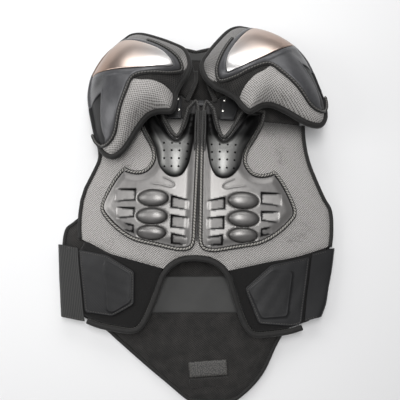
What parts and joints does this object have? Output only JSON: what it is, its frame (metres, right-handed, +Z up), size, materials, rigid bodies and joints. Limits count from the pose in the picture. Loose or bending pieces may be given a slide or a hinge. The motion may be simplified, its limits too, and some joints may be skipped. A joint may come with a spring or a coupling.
{
  "type": "motorcycle armour vest",
  "caption": "Sleeveless motorcycle armour vest lying on its back: mesh body, moulded chest plates, hard shoulder cups, waist belt.",
  "frame": {"origin": "on the flat underside of the back panel, on the centre line at mid chest", "axes": "+Z up from the surface the vest lies on, towards its front; +Y towards the collar; +X to the viewer's right"},
  "size_m": [0.4778, 0.6648, 0.1149],
  "materials": {
    "grey_mesh": "air mesh over thin foam",
    "black_mesh": "three-layer air mesh",
    "binding_tape": "folded polyester tape",
    "loop_pile": "brushed hook-and-loop pile",
    "woven_elastic": "ribbed woven elastic",
    "coated_webbing": "smooth matt coated cloth",
    "moulded_foam": "satin moulded EVA skin",
    "vent_plastic": "glossy moulded plastic",
    "hard_shell": "satin hard plastic",
    "brushed_plate": "brushed, champagne tint"
  },
  "bodies": {
    "root": {"back_panel": "black_mesh", "back_binding": "binding_tape", "inner_waist_band": "coated_webbing", "collar_band": "binding_tape", "tail_patch": "black_mesh", "tail_patch_lip": "black_mesh", "front_panel": "grey_mesh", "side_binding_left": "binding_tape", "side_binding_right": "binding_tape", "yoke": "binding_tape", "loop_panel_left": "loop_pile", "loop_panel_right": "loop_pile", "arch_binding": "binding_tape", "shoulder_strap_left": "black_mesh", "shoulder_strap_right": "black_mesh", "neck_binding_left": "binding_tape", "neck_binding_right": "binding_tape", "cup_tab_left": "coated_webbing", "cup_tab_right": "coated_webbing", "cup_rivet_left_1": "brushed_plate", "cup_rivet_left_2": "brushed_plate", "cup_rivet_right_1": "brushed_plate", "cup_rivet_right_2": "brushed_plate", "chest_plate_left": "moulded_foam", "chest_plate_right": "moulded_foam", "chest_piping_left": "binding_tape", "chest_piping_right": "binding_tape", "vent_dome_left": "vent_plastic", "vent_dome_right": "vent_plastic", "centre_placket": "binding_tape", "placket_tab": "vent_plastic", "shoulder_pad_left": "grey_mesh", "shoulder_pad_right": "grey_mesh", "shoulder_shell_left": "hard_shell", "shoulder_shell_right": "hard_shell", "shoulder_plate_left": "brushed_plate", "shoulder_plate_right": "brushed_plate", "shoulder_piping_left": "binding_tape", "shoulder_piping_right": "binding_tape", "shoulder_binding_left": "binding_tape", "shoulder_binding_right": "binding_tape", "shoulder_gusset_left": "black_mesh", "shoulder_gusset_right": "black_mesh", "belt_elastic_left": "woven_elastic", "belt_strap_right": "coated_webbing", "belt_tab_left": "coated_webbing", "belt_tab_right": "coated_webbing"}
  },
  "joints": []
}
